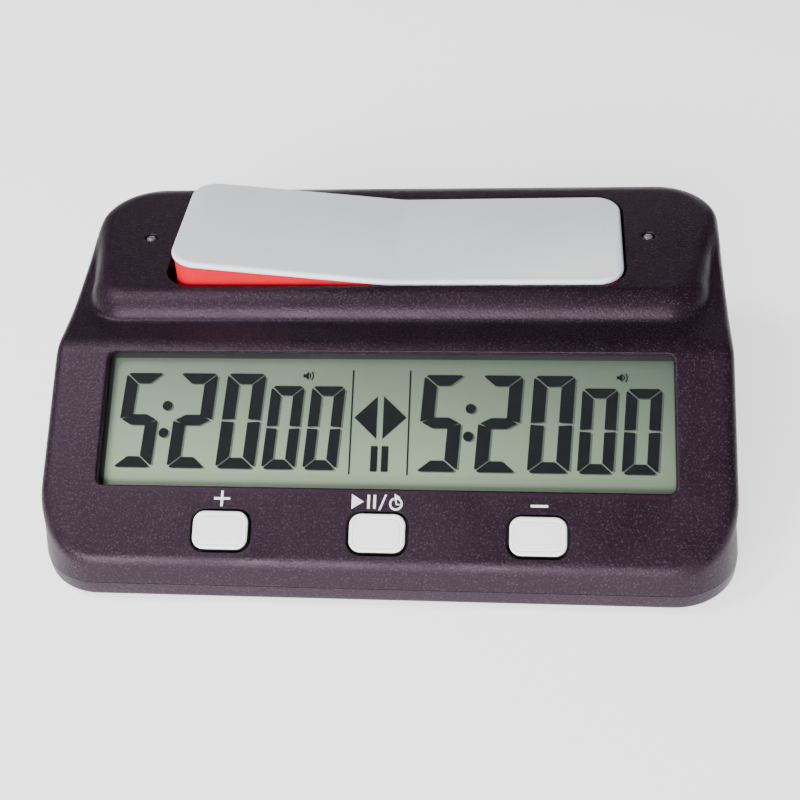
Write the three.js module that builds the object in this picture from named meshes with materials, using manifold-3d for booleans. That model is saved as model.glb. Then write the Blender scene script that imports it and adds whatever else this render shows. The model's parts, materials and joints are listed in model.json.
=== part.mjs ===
// Digital chess clock: a wedge-shaped plastic housing with a seesaw rocker on top, a sloped
// display window, three push buttons, and the electronics and battery inside.
// Millimetres, +Z up, players' display facing -Y. The origin is on the table, under the middle.
import * as THREE from 'three';
import { mergeVertices } from 'three/addons/utils/BufferGeometryUtils.js';
import Module from 'manifold-3d';

const wasm = await Module();
wasm.setup();

// ---- Driving dimensions -------------------------------------------------------------------
const GAP = 0.3;                          // clearance between touching pieces
const BODY = { width: 148, depth: 98.4, radius: 14, draft: 0.7, edge: 3 };
const WALL = 2.2;                         // housing wall thickness
const FOOT_HEIGHT = 0.8;                  // the cover stands this far off the table
const PARTING = 5;                        // height of the joint between housing and cover
const FRONT_LEAN = 1;                     // the front wall leans back this far
const FRONT_TOP = 10.75;                  // height of the sloped panel's lower edge
const PLATEAU = 36.7;                     // height of the flat ledge behind the panel
const PLATEAU_Y = -8.4;                   // where the slope meets the ledge
const HUMP = { top: 41.5, front: 0.3, halfWidth: 72, radius: 11, fillet: 4.6 };
const REAR_LEAN = 0.8;

const WINDOW = { halfWidth: 60.6, low: 16.3, high: 45.9, depth: 1.6, flare: 0.5, radius: 1.6 };
const BUTTON = { x: [-32.8, 0, 32.8], s: 6.9, width: 11.6, height: 8, radius: 2.4 };
const BUTTON_PROUD = 0.9;
const BOARD_LEVEL = -8.4;                 // main board's top face, below the panel surface
const BOARD_THICKNESS = 1.6;

const ROCKER = { y: 23.85, arm: 50.3, width: 33.5, radius: 6, cap: 1.35, depth: 8.2 };
const ROCKER_RISE = 3.4;                  // each arm rises by this angle from the bend, degrees
const ROCKER_TILT = 3.0;                  // half of the seesaw's travel, degrees
const AXLE = { z: 31, radius: 1.5, boss: 4.2 };
const BEND_ABOVE_AXLE = 11;
const WELL = { halfWidth: 51.8, front: 6.2, rear: 41.5, radius: 6.6 };
const CRADLE = { halfWidth: 54.5, front: 4.2, rear: 43.5, floor: 23.9, top: 34, wall: 1.6 };
const PLUNGER_X = 30;
const PAD_X = 43;
const LED = { left: -58.4, right: 56.8, y: 25.4, radius: 1.1, low: 34.5 };
const CRADLE_EAR = { low: 25.5, high: 28, half: 3 };
const ROCKER_BOARD = { halfWidth: 38, front: 12, rear: 28.5, low: 14.1, high: 15.7 };
const BOARD_POST = { x: 12, y: 20, radius: 2.6, bore: 1.2, low: 15, high: 22 };
const SWITCH_BASE = 16;                   // underside of the rocker switches

const BATTERY = { y: 38.2, z: 10.6, radius: 7.1, negative: -24.9, positive: 25.1 };
const BAY = { halfWidth: 31, front: 30.4, rear: 46.4, top: 15, wall: 1.4 };
const DOOR = { halfWidth: 29.3, tongue: 30.7, step: 1, front: 30.8, thickness: 2, grips: 4 };
const CONTACT = { inner: 28.4, outer: 29, low: 5, high: 16.5, half: 5, tab: 1.2, tabTop: 19 };
const CASE_SCREW = { front: [62, -39], rear: [63, 38] };
const CASE_BOSS = { low: 7.3, radius: 3.3, bore: 1.7, boreTop: 14.5, pad: 4.6, padTop: 7 };
const SCREW_BOSS = { radius: 2.8, bore: 1.3 };
const HEAD_RECESS = { top: 4.6, radius: 3.2 };
const FOOT = { x: 47, y: 39, radius: 4.5, rise: 1.1 };
const POWER_SWITCH = { x: 47, z: 14, travel: 3 };
const SWITCH_RECESS = { halfWidth: 6.5, halfHeight: 3.6, depth: 1.4 };
const SWITCH_SLOT = { halfWidth: 4.2, halfHeight: 1.9, depth: 5 };
const CRADLE_SCREW_Y = [14, 31];
const CRADLE_SCREW_X = 57.5;
const BOARD_SCREW = { x: 50, s: 8.5 };
const BOARD = { halfWidth: 56.5, low: 3.5, high: 44.5 };
const BUTTON_FLANGE = { grow: 1.1, depth: 3.5 };
const TACT = { half: 3, height: 3.3, wellRadius: 1.9, plungerRadius: 1.5, plungerTop: -4.1 };
const LCD_THICKNESS = 2.4;
const LENS_THICKNESS = 1;
const FAR = 90;                           // further out than any wall, for cutting tools

const HALF_WIDTH = BODY.width / 2;
const HALF_DEPTH = BODY.depth / 2;
const PANEL_Y = -HALF_DEPTH + FRONT_LEAN;
const PANEL_RUN = PLATEAU_Y - PANEL_Y;
const PANEL_RISE = PLATEAU - FRONT_TOP;
const PANEL_ANGLE = Math.atan2(PANEL_RISE, PANEL_RUN);
const radians = THREE.MathUtils.degToRad;

// ---- Materials ----------------------------------------------------------------------------
function material(color, roughness, metalness = 0) {
  return new THREE.MeshStandardMaterial({ color, roughness, metalness });
}

const housingPlastic = () => material(0x3a2630, 0.55);
const capPlastic = () => material(0xd6d9d8, 0.35);
const redPlastic = () => material(0xd8282c, 0.4);
const buttonPlastic = () => material(0xf2f4f3, 0.3);
const innerPlastic = () => material(0x26262a, 0.6);
const boardLaminate = () => material(0x1f6b3a, 0.5);
const displayGlass = () => material(0x9aa68f, 0.2);
const clearPlastic = () => material(0xdfe6e4, 0.1);
const steel = () => material(0xb8babd, 0.3, 1);
const softRubber = () => material(0x18181a, 0.9);

// ---- Solids -------------------------------------------------------------------------------
// A three.js geometry as a manifold solid, with its shared corners merged.
function solid(geometry) {
  const bare = geometry.clone();
  bare.deleteAttribute('normal');
  bare.deleteAttribute('uv');
  const merged = mergeVertices(bare, 1e-4);
  const corners = merged.index.array;
  const kept = [];
  for (let i = 0; i < corners.length; i += 3) {
    const [a, b, c] = corners.slice(i, i + 3);
    if (a !== b && b !== c && c !== a) kept.push(a, b, c);
  }
  return new wasm.Manifold(new wasm.Mesh({
    numProp: 3,
    vertProperties: new Float32Array(merged.attributes.position.array),
    triVerts: new Uint32Array(kept),
  }));
}

function geometryOf(manifold) {
  const mesh = manifold.getMesh();
  const geometry = new THREE.BufferGeometry();
  geometry.setAttribute('position', new THREE.BufferAttribute(mesh.vertProperties, 3));
  geometry.setIndex(new THREE.BufferAttribute(mesh.triVerts, 1));
  geometry.computeVertexNormals();
  return geometry;
}

const cut = (base, tools) => tools.reduce((left, tool) => left.subtract(tool), base);
const join = (parts) => parts.reduce((sum, part) => sum.add(part));

// ---- Shapes -------------------------------------------------------------------------------
function roundedRect(x0, y0, x1, y1, radius) {
  const shape = new THREE.Shape();
  shape.moveTo(x0 + radius, y0);
  shape.lineTo(x1 - radius, y0);
  shape.absarc(x1 - radius, y0 + radius, radius, -Math.PI / 2, 0);
  shape.lineTo(x1, y1 - radius);
  shape.absarc(x1 - radius, y1 - radius, radius, 0, Math.PI / 2);
  shape.lineTo(x0 + radius, y1);
  shape.absarc(x0 + radius, y1 - radius, radius, Math.PI / 2, Math.PI);
  shape.lineTo(x0, y0 + radius);
  shape.absarc(x0 + radius, y0 + radius, radius, Math.PI, Math.PI * 1.5);
  return shape;
}

function polygon(points) {
  return new THREE.Shape(points.map(([x, y]) => new THREE.Vector2(x, y)));
}

// A shape in plan, extruded upward between two heights.
function prism(shape, low, high, segments = 3) {
  const settings = { depth: high - low, bevelEnabled: false, curveSegments: segments };
  return new THREE.ExtrudeGeometry(shape, settings).translate(0, 0, low);
}

// A shape in plan whose upper edge is rounded inward over the given radius.
function pillow(shape, low, high, radius, steps = 2, segments = 4) {
  const settings = {
    depth: high - low, bevelEnabled: true, bevelThickness: radius,
    bevelSize: radius, bevelOffset: -radius, bevelSegments: steps, curveSegments: segments,
  };
  return new THREE.ExtrudeGeometry(shape, settings).translate(0, 0, low - radius);
}

// A plan shape with vertical sides up to the base height, then tapering inward with the draft.
function tapered(shape, low, base, high, taper) {
  const settings = {
    depth: base - low, bevelEnabled: true, bevelThickness: high - base,
    bevelSize: taper, bevelOffset: -taper, bevelSegments: 1, curveSegments: 4,
  };
  return new THREE.ExtrudeGeometry(shape, settings).translate(0, 0, low);
}

// A side profile of (y, z) points extruded along X, its ends rounded by the given radius.
function alongX(points, x0, x1, rounding = 0) {
  const settings = {
    depth: x1 - x0 - 2 * rounding, bevelEnabled: rounding > 0, bevelThickness: rounding,
    bevelSize: rounding, bevelOffset: -rounding, bevelSegments: 2,
  };
  const turn = new THREE.Matrix4().makeBasis(
    new THREE.Vector3(0, 1, 0), new THREE.Vector3(0, 0, 1), new THREE.Vector3(1, 0, 0));
  const bar = new THREE.ExtrudeGeometry(polygon(points), settings);
  return bar.applyMatrix4(turn).translate(x0 + rounding, 0, 0);
}

// A front profile of (x, z) points extruded along Y.
function alongY(points, y0, y1) {
  const settings = { depth: y1 - y0, bevelEnabled: false };
  const bar = new THREE.ExtrudeGeometry(polygon(points), settings);
  return bar.rotateX(Math.PI / 2).translate(0, y1, 0);
}

function block(x0, x1, y0, y1, z0, z1) {
  const box = new THREE.BoxGeometry(x1 - x0, y1 - y0, z1 - z0);
  return box.translate((x0 + x1) / 2, (y0 + y1) / 2, (z0 + z1) / 2);
}

function post(x, y, z0, z1, radius, sides = 14) {
  const rod = new THREE.CylinderGeometry(radius, radius, z1 - z0, sides);
  return rod.rotateX(Math.PI / 2).translate(x, y, (z0 + z1) / 2);
}

function rodAlongY(x, z, y0, y1, radius, sides = 16) {
  const rod = new THREE.CylinderGeometry(radius, radius, y1 - y0, sides);
  return rod.translate(x, (y0 + y1) / 2, z);
}

function rodAlongX(y, z, x0, x1, radius, sides = 20) {
  const rod = new THREE.CylinderGeometry(radius, radius, x1 - x0, sides);
  return rod.rotateZ(Math.PI / 2).translate((x0 + x1) / 2, y, z);
}

// A turned piece standing on Z: (radius, height) points that start and end on the axis.
function turned(points, sides = 14) {
  const profile = points.map(([r, z]) => new THREE.Vector2(r, z));
  return new THREE.LatheGeometry(profile, sides).rotateX(Math.PI / 2);
}

function tube(points, radius, steps, sides = 8) {
  const section = new THREE.Shape().absarc(0, 0, radius, 0, Math.PI * 2);
  const extrudePath = new THREE.CatmullRomCurve3(points.map((p) => new THREE.Vector3(...p)));
  const settings = { steps, curveSegments: sides / 2, bevelEnabled: false, extrudePath };
  return new THREE.ExtrudeGeometry(section, settings);
}

// Moves every edge of a convex, counter-clockwise outline inward by the given distance.
function insetOutline(points, distance) {
  const edges = points.map(([x, y], i) => {
    const [u, v] = points[(i + 1) % points.length];
    const length = Math.hypot(u - x, v - y);
    const [dx, dy] = [(u - x) / length, (v - y) / length];
    return { x: x - dy * distance, y: y + dx * distance, dx, dy };
  });
  return edges.map((next, i) => {
    const last = edges[(i + edges.length - 1) % edges.length];
    const cross = last.dx * next.dy - last.dy * next.dx;
    const t = ((next.x - last.x) * next.dy - (next.y - last.y) * next.dx) / cross;
    return [last.x + last.dx * t, last.y + last.dy * t];
  });
}

// ---- Scene graph --------------------------------------------------------------------------
const clock = new THREE.Group();

// The sloped panel's own frame: X across, Y up the slope, Z out of the surface.
const panel = new THREE.Group();
panel.position.set(0, PANEL_Y, FRONT_TOP);
panel.rotation.x = PANEL_ANGLE;
clock.add(panel);

// The rocker's own frame, on the axle. At rest the left arm is up.
const rocker = new THREE.Group();
rocker.position.set(0, ROCKER.y, AXLE.z);
rocker.rotation.y = radians(ROCKER_TILT);
clock.add(rocker);

function place(parent, name, geometry, look) {
  const mesh = new THREE.Mesh(geometry, look);
  mesh.name = name;
  parent.add(mesh);
  return mesh;
}

function onPanel(geometry) {
  panel.updateMatrix();
  return solid(geometry.applyMatrix4(panel.matrix));
}

const SIDES = [['left', -1], ['right', 1]];
const CORNERS = SIDES.flatMap(([side, sign]) => [
  [`front_${side}`, sign, 'front'],
  [`rear_${side}`, sign, 'rear'],
]);

// ---- Housing ------------------------------------------------------------------------------
const OUTLINE_LOW = -12;                  // the profiles run below the parting line, then are cut

function bodyProfile() {
  const lean = FRONT_LEAN * (FRONT_TOP - OUTLINE_LOW) / (FRONT_TOP - PARTING);
  return [
    [PANEL_Y - lean, OUTLINE_LOW],
    [HALF_DEPTH + REAR_LEAN / 2, OUTLINE_LOW],
    [HALF_DEPTH - REAR_LEAN, PLATEAU],
    [PLATEAU_Y, PLATEAU],
    [PANEL_Y, FRONT_TOP],
  ];
}

function bodySolid(inset) {
  const x = HALF_WIDTH - inset;
  const y = HALF_DEPTH - inset;
  const plan = roundedRect(-x, -y, x, y, BODY.radius - inset);
  const walls = solid(tapered(plan, OUTLINE_LOW, PARTING, HUMP.top, BODY.draft));
  const edge = Math.max(BODY.edge - inset, 0.8);
  const wedge = solid(alongX(insetOutline(bodyProfile(), inset), -x, x, edge));
  const humpX = HUMP.halfWidth - inset;
  const humpRear = HALF_DEPTH - REAR_LEAN - inset;
  const hump = roundedRect(-humpX, HUMP.front + inset, humpX, humpRear, HUMP.radius - inset / 2);
  const fillet = HUMP.fillet - inset / 2;
  const mound = solid(pillow(hump, PLATEAU - WALL * 3, HUMP.top - inset, fillet));
  return wedge.add(mound).intersect(walls);
}

const SURFACE_SKIM = 0.05;                // keeps a cutter's edge off the surface that it meets

function windowCutter() {
  const { halfWidth: x, low, high, radius, flare } = WINDOW;
  const throat = roundedRect(-x, low, x, high, radius);
  const mouth = roundedRect(-x - flare, low - flare, x + flare, high + flare, radius);
  const slant = { depth: 2, bevelEnabled: true, bevelThickness: 2 * flare, bevelSize: flare,
    bevelOffset: -flare, bevelSegments: 1, curveSegments: 2 };
  const rim = new THREE.ExtrudeGeometry(mouth, slant).translate(0, 0, SURFACE_SKIM);
  return [onPanel(prism(throat, -WALL * 2, 1, 2)), onPanel(rim)];
}

// The pocket behind the window opening, which the clear window is set into.
function windowPocket() {
  const { halfWidth: x, low, high } = WINDOW;
  const margin = 2.6;
  const upper = 1.3;
  const shape = roundedRect(-x - margin, low - margin, x + margin, high + upper, WINDOW.radius);
  return onPanel(prism(shape, -WALL * 2, -WINDOW.depth, 2));
}

function buttonOutline(x, grow) {
  const halfWidth = BUTTON.width / 2 + grow;
  const halfHeight = BUTTON.height / 2 + grow;
  return roundedRect(x - halfWidth, BUTTON.s - halfHeight, x + halfWidth,
    BUTTON.s + halfHeight, BUTTON.radius + grow / 2);
}

function buttonHoles() {
  const clearance = 0.5;
  return BUTTON.x.map((x) => onPanel(prism(buttonOutline(x, clearance), -WALL * 3, WALL, 2)));
}

function panelBosses() {
  const base = BOARD_LEVEL + GAP;
  return SIDES.map(([, sign]) => {
    const [x, s] = [sign * BOARD_SCREW.x, BOARD_SCREW.s];
    const boss = post(x, s, base, -WALL / 2, SCREW_BOSS.radius);
    const hole = post(x, s, base - 1, base + 5, SCREW_BOSS.bore);
    return onPanel(boss).subtract(onPanel(hole));
  });
}

// Bosses that the case screws and the cradle screws go into, from below.
function housingBosses() {
  const shell = bodySolid(WALL / 2);
  const caseBosses = CORNERS.map(([, sign, end]) => {
    const [x, y] = CASE_SCREW[end];
    const column = post(sign * x, y, CASE_BOSS.low, HUMP.top, CASE_BOSS.radius);
    const boss = solid(column).intersect(shell);
    const { low, bore, boreTop } = CASE_BOSS;
    return boss.subtract(solid(post(sign * x, y, low - 1, boreTop, bore)));
  });
  const cradleBosses = SIDES.flatMap(([, sign]) => CRADLE_SCREW_Y.map((y) => {
    const x = sign * CRADLE_SCREW_X;
    const low = CRADLE_EAR.high + GAP;
    const boss = solid(post(x, y, low, HUMP.top, SCREW_BOSS.radius)).intersect(shell);
    return boss.subtract(solid(post(x, y, low - 1, CRADLE.top, SCREW_BOSS.bore)));
  }));
  return [...caseBosses, ...cradleBosses];
}

function powerSwitchCuts() {
  const { x, z } = POWER_SWITCH;
  return [SWITCH_RECESS, SWITCH_SLOT].map(({ halfWidth, halfHeight, depth }) =>
    solid(block(x - halfWidth, x + halfWidth, HALF_DEPTH - depth, HALF_DEPTH + 1,
      z - halfHeight, z + halfHeight)));
}

// Everything above or below a level, as a cutting tool.
const above = (level) => solid(block(-FAR, FAR, -FAR, FAR, level, FAR));
const below = (level) => solid(block(-FAR, FAR, -FAR, FAR, -FAR, level));

function topHousing() {
  const wellShape = roundedRect(-WELL.halfWidth, WELL.front, WELL.halfWidth, WELL.rear,
    WELL.radius);
  const shell = cut(bodySolid(0), [bodySolid(WALL), below(PARTING + GAP / 2)]);
  const roofLow = PLATEAU - WALL * 3;
  const ledHoles = SIDES.map(([side]) =>
    solid(post(LED[side], LED.y, roofLow, FAR, LED.radius + GAP, 12)));
  const openings = cut(shell, [
    ...windowCutter(),
    windowPocket(),
    ...buttonHoles(),
    solid(prism(wellShape, roofLow, FAR, 4)),
    ...ledHoles,
    ...powerSwitchCuts(),
  ]);
  const whole = join([openings, ...housingBosses(), ...panelBosses()]);
  place(clock, 'top_housing', geometryOf(whole), housingPlastic());
}

function bottomCover() {
  const x = HALF_WIDTH;
  const y = HALF_DEPTH;
  const top = PARTING - GAP / 2;
  const plan = roundedRect(-x, -y, x, y, BODY.radius);
  const innerPlan = roundedRect(-x + WALL, -y + WALL, x - WALL, y - WALL, BODY.radius - WALL);
  const floor = FOOT_HEIGHT + DOOR.thickness;
  const chamfer = 1.2;
  const inside = floor - 1;
  const dish = {
    depth: top - FOOT_HEIGHT - chamfer, bevelEnabled: true, bevelThickness: chamfer,
    bevelSize: chamfer, bevelOffset: -chamfer, bevelSegments: 1, curveSegments: 4,
  };
  const outer = new THREE.ExtrudeGeometry(plan, dish).translate(0, 0, FOOT_HEIGHT + chamfer);
  const shell = cut(solid(outer), [above(top), solid(prism(innerPlan, floor, FAR, 4))]);
  const bosses = CORNERS.map(([, sign, end]) => {
    const [bx, by] = CASE_SCREW[end];
    return solid(post(sign * bx, by, inside, CASE_BOSS.padTop, CASE_BOSS.pad));
  });
  const bay = solid(block(-BAY.halfWidth - BAY.wall, BAY.halfWidth + BAY.wall,
    BAY.front - BAY.wall, BAY.rear, inside, BAY.top));
  const bayRoom = solid(block(-BAY.halfWidth, BAY.halfWidth, BAY.front, FAR, 0, FAR));
  const mouth = DOOR.halfWidth + GAP;
  const step = FOOT_HEIGHT + DOOR.step;
  const doorway = join([
    block(-mouth, mouth, BAY.front, FAR, 0, FAR),
    block(-BAY.halfWidth, BAY.halfWidth, BAY.front, FAR, step, FAR),
    block(-BAY.halfWidth, BAY.halfWidth, BAY.rear, FAR, 0, FAR),
  ].map(solid));
  const railWidth = BAY.halfWidth + 1 - mouth;
  const railTop = floor + 1.6;
  const rails = [-mouth - railWidth, mouth].map((x0) =>
    solid(block(x0, x0 + railWidth, BAY.front, BAY.rear, floor + GAP, railTop)));
  const recesses = CORNERS.map(([, sign, end]) => {
    const [bx, by] = CASE_SCREW[end];
    const head = solid(post(sign * bx, by, 0, HEAD_RECESS.top, HEAD_RECESS.radius));
    return head.add(solid(post(sign * bx, by, 0, CASE_BOSS.padTop + 1, CASE_BOSS.bore + 0.1)));
  });
  const footRecesses = CORNERS.map(([, sign, end]) =>
    solid(post(sign * FOOT.x, end === 'front' ? -FOOT.y : FOOT.y, 0,
      FOOT_HEIGHT + FOOT.rise, FOOT.radius + GAP, 18)));
  const walls = join([shell, ...bosses]).subtract(doorway).add(bay.subtract(bayRoom));
  const whole = cut(join([walls, ...rails]), [...recesses, ...footRecesses]);
  place(clock, 'bottom_cover', geometryOf(whole), housingPlastic());
}

// A plate that slides on side tongues, with a lip that closes the battery bay's rear side.
function batteryDoor() {
  const { halfWidth: x, tongue, step, front } = DOOR;
  const rear = HALF_DEPTH - WALL;
  const low = FOOT_HEIGHT;
  const top = low + DOOR.thickness;
  const slack = 0.2;
  const plate = block(-x, x, front, rear, low, top);
  const tongues = block(-tongue, tongue, front, BAY.rear - slack, low + step + GAP, top);
  const lip = block(-tongue, tongue, BAY.rear + slack, HALF_DEPTH - slack, low,
    PARTING - GAP / 2);
  const grip = { halfWidth: 8, front: 40, pitch: 1.6, width: 0.8, depth: 0.5 };
  const grooves = Array.from({ length: DOOR.grips }, (_, i) => {
    const y = grip.front + i * grip.pitch;
    return block(-grip.halfWidth, grip.halfWidth, y, y + grip.width, 0, low + grip.depth);
  });
  const whole = cut(join([plate, tongues, lip].map(solid)), grooves.map(solid));
  place(clock, 'battery_door', geometryOf(whole), housingPlastic());
}

function feet() {
  const top = FOOT_HEIGHT + FOOT.rise - GAP;
  const bevel = 0.5;
  for (const [name, sign, end] of CORNERS) {
    const pad = turned([[0, 0], [FOOT.radius - bevel, 0], [FOOT.radius, bevel],
      [FOOT.radius, top], [0, top]], 16);
    pad.translate(sign * FOOT.x, end === 'front' ? -FOOT.y : FOOT.y, 0);
    place(clock, `rubber_foot_${name}`, pad, softRubber());
  }
}

// A pan-head screw pointing up, its head's underside at the origin.
function screw(headRadius, headHeight, shankRadius, length) {
  const driveRadius = headRadius * 0.45;
  return turned([
    [0, -headHeight * 0.4],
    [driveRadius, -headHeight * 0.4],
    [driveRadius, -headHeight],
    [headRadius * 0.85, -headHeight],
    [headRadius, -headHeight * 0.6],
    [headRadius, 0],
    [shankRadius, 0],
    [shankRadius, length - shankRadius],
    [0, length],
  ], 10);
}

function caseScrews() {
  const seat = HEAD_RECESS.top - GAP;
  for (const [name, sign, end] of CORNERS) {
    const [x, y] = CASE_SCREW[end];
    const mesh = place(clock, `case_screw_${name}`, screw(2.7, 1.9, 1.4, 9.4), steel());
    mesh.position.set(sign * x, y, seat);
  }
}

// ---- Rocker -------------------------------------------------------------------------------
const rise = Math.tan(radians(ROCKER_RISE));
const HALF_ROCKER = ROCKER.width / 2;
const CAP_EDGE = 0.9;                     // rounding of the cap's upper edge

// The V-shaped line under the rocker's top face, at the given depth, as (x, z) points.
function bendLine(halfLength, depth) {
  const z = BEND_ABOVE_AXLE - depth;
  return [[-halfLength, z + halfLength * rise], [0, z], [halfLength, z + halfLength * rise]];
}

// A bent bar between two depths below the top face.
function bentBar(halfLength, halfWidth, upper, lower) {
  const points = [...bendLine(halfLength, lower), ...bendLine(halfLength, upper).reverse()];
  return solid(alongY(points, -halfWidth, halfWidth));
}

function rockerPlan(inset, low, high) {
  const x = ROCKER.arm - inset;
  const y = HALF_ROCKER - inset;
  return solid(prism(roundedRect(-x, -y, x, y, ROCKER.radius - inset), low, high, 4));
}

const ARM_LAP = 0.02;                     // the two arms overlap by this much at the bend

function rockerArm(sign) {
  const hidden = 20;
  const plate = roundedRect(-hidden, -HALF_ROCKER, ROCKER.arm, HALF_ROCKER, ROCKER.radius);
  const top = pillow(plate, CAP_EDGE - ROCKER.cap, 0, CAP_EDGE, 2, 4);
  const square = solid(top).intersect(solid(block(-hidden / 2, FAR, -FAR, FAR, -ROCKER.cap, 1)));
  const arm = square.rotate([0, -ROCKER_RISE, 0]).translate([0, 0, BEND_ABOVE_AXLE]);
  const half = arm.intersect(solid(block(-ARM_LAP, FAR, -FAR, FAR, -FAR, FAR)));
  return sign > 0 ? half : half.mirror([1, 0, 0]);
}

function rockerCap() {
  place(rocker, 'rocker_cap', geometryOf(rockerArm(1).add(rockerArm(-1))), capPlastic());
}

const RIB = { half: 3, reach: 5, low: 4.2 };

function rockerSkirt() {
  const wall = 1.6;
  const inset = 0.35;
  const top = ROCKER.cap + GAP;
  const y = HALF_ROCKER - inset;
  const outer = bentBar(FAR, FAR, top, ROCKER.depth).intersect(rockerPlan(inset, -FAR, FAR));
  const roomPlan = rockerPlan(inset + wall, -FAR, FAR);
  const room = bentBar(FAR, FAR, top + wall, FAR).intersect(roomPlan);
  const lobe = 2.4;
  const lobes = [[-y, -y + lobe], [y - lobe, y]].map(([y0, y1]) => {
    const round = solid(rodAlongY(0, 0, y0, y1, AXLE.boss, 18));
    return round.add(solid(block(-AXLE.boss, AXLE.boss, y0, y1, 0, BEND_ABOVE_AXLE - 3)));
  });
  const ribs = [-PAD_X, -PLUNGER_X, PLUNGER_X, PAD_X].map((x) => {
    const roof = BEND_ABOVE_AXLE + Math.abs(x) * rise - top - wall;
    return solid(block(x - RIB.half, x + RIB.half, -RIB.reach, RIB.reach, RIB.low, roof + 0.5));
  });
  const axleHole = solid(rodAlongY(0, 0, -FAR, FAR, AXLE.radius + GAP, 16));
  const whole = join([outer.subtract(room), ...lobes, ...ribs]).subtract(axleHole);
  place(rocker, 'rocker_skirt', geometryOf(whole), redPlastic());
}

function rockerAxle() {
  const pin = rodAlongY(0, AXLE.z, CRADLE.front + GAP, CRADLE.rear - GAP, AXLE.radius);
  place(clock, 'rocker_axle', pin, steel());
}

// lowered: the underside of a rib on the lowered arm, at a plunger.
const PLUNGER = { pin: 1.8, head: 3.6, headHeight: 1.6, length: 13.2, hole: 2.2, lowered: 33.62,
  clearance: 0.4 };

// The open tray under the rocker that holds the axle, the stops and the two switches.
function rockerCradle() {
  const { halfWidth: x, front, rear, floor, top, wall } = CRADLE;
  const tray = cut(solid(block(-x, x, front, rear, floor, top)),
    [solid(block(-x + wall, x - wall, front + wall, rear - wall, floor + wall, FAR))]);
  const ears = SIDES.flatMap(([, sign]) => CRADLE_SCREW_Y.map((y) => {
    const { low, high, half } = CRADLE_EAR;
    const ends = [sign * (x - 1), sign * (CRADLE_SCREW_X + half)];
    return solid(block(Math.min(...ends), Math.max(...ends), y - half, y + half, low, high));
  }));
  const boardPosts = SIDES.map(([, sign]) => solid(post(sign * BOARD_POST.x, BOARD_POST.y,
    ROCKER_BOARD.high + GAP, floor + 0.5, BOARD_POST.radius)));
  const holes = [
    ...SIDES.map(([, sign]) => post(sign * PLUNGER_X, ROCKER.y, floor - 1, top, PLUNGER.hole)),
    ...SIDES.map(([, sign]) => post(sign * BOARD_POST.x, BOARD_POST.y,
      BOARD_POST.low, BOARD_POST.high, BOARD_POST.bore)),
    ...SIDES.flatMap(([, sign]) => CRADLE_SCREW_Y.map((y) =>
      post(sign * CRADLE_SCREW_X, y, floor - 1, top, 1.5))),
    rodAlongY(0, AXLE.z, front - 1, rear + 1, AXLE.radius + GAP),
  ];
  const whole = cut(join([tray, ...ears, ...boardPosts]), holes.map(solid));
  place(clock, 'rocker_cradle', geometryOf(whole), innerPlastic());
}

function cradleScrews() {
  for (const [side, sign] of SIDES) {
    CRADLE_SCREW_Y.forEach((y, i) => {
      const name = `cradle_screw_${['front', 'rear'][i]}_${side}`;
      const mesh = place(clock, name, screw(2.4, 1.6, 1, 8), steel());
      mesh.position.set(sign * CRADLE_SCREW_X, y, 25.2);
    });
  }
}

// Rubber stops under the arms, and the sprung plungers that carry the tilt to the switches.
function rockerStopsAndSwitches() {
  const { pin, head: headRadius, headHeight, length, lowered, clearance } = PLUNGER;
  const travel = 2 * PLUNGER_X * Math.sin(radians(ROCKER_TILT));
  const tray = CRADLE.floor + CRADLE.wall;
  for (const [side, sign] of SIDES) {
    const stop = turned([[0, 0], [3.4, 0], [3.4, 4.6], [2.6, 6.5], [0, 6.5]]);
    const pad = place(clock, `bumper_pad_${side}`, stop, softRubber());
    pad.position.set(sign * PAD_X, ROCKER.y, tray + GAP);

    const top = lowered - clearance + (sign < 0 ? travel : 0);
    const rod = turned([[0, -length], [pin, -length], [pin, -headHeight],
      [headRadius, -headHeight], [headRadius, -0.3], [headRadius - 0.4, 0], [0, 0]]);
    const plunger = place(clock, `rocker_plunger_${side}`, rod, buttonPlastic());
    plunger.position.set(sign * PLUNGER_X, ROCKER.y, top);

    const can = solid(block(-6, 6, -5, 4.5, 0, 7.5)).subtract(
      solid(post(0, 0, 1, 9, PLUNGER.hole)));
    const body = place(clock, `rocker_switch_${side}`, geometryOf(can), innerPlastic());
    body.position.set(sign * PLUNGER_X, ROCKER.y, SWITCH_BASE);
  }
}

function rockerBoard() {
  const { halfWidth, front, rear, low, high } = ROCKER_BOARD;
  const board = solid(block(-halfWidth, halfWidth, front, rear, low, high));
  const holes = SIDES.map(([, sign]) =>
    solid(post(sign * BOARD_POST.x, BOARD_POST.y, low - 1, high + 1, SCREW_BOSS.bore + 0.1)));
  place(clock, 'rocker_board', geometryOf(cut(board, holes)), boardLaminate());
  for (const [side, sign] of SIDES) {
    const mesh = place(clock, `rocker_board_screw_${side}`, screw(2.2, 1.3, 0.9, 6), steel());
    mesh.position.set(sign * BOARD_POST.x, BOARD_POST.y, low - GAP);
  }
}

function indicatorLeds() {
  const { radius: r, low } = LED;
  const flange = { radius: 1.7, top: 38.9 };
  const dome = { low: 40.9, middle: 41.4, top: 41.6 };
  for (const [side] of SIDES) {
    const lens = turned([[0, low], [flange.radius, low], [flange.radius, flange.top],
      [r, flange.top], [r, dome.low], [r * 0.75, dome.middle], [0, dome.top]], 12);
    const mesh = place(clock, `indicator_led_${side}`, lens, clearPlastic());
    mesh.position.set(LED[side], LED.y, 0);
  }
}

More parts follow.
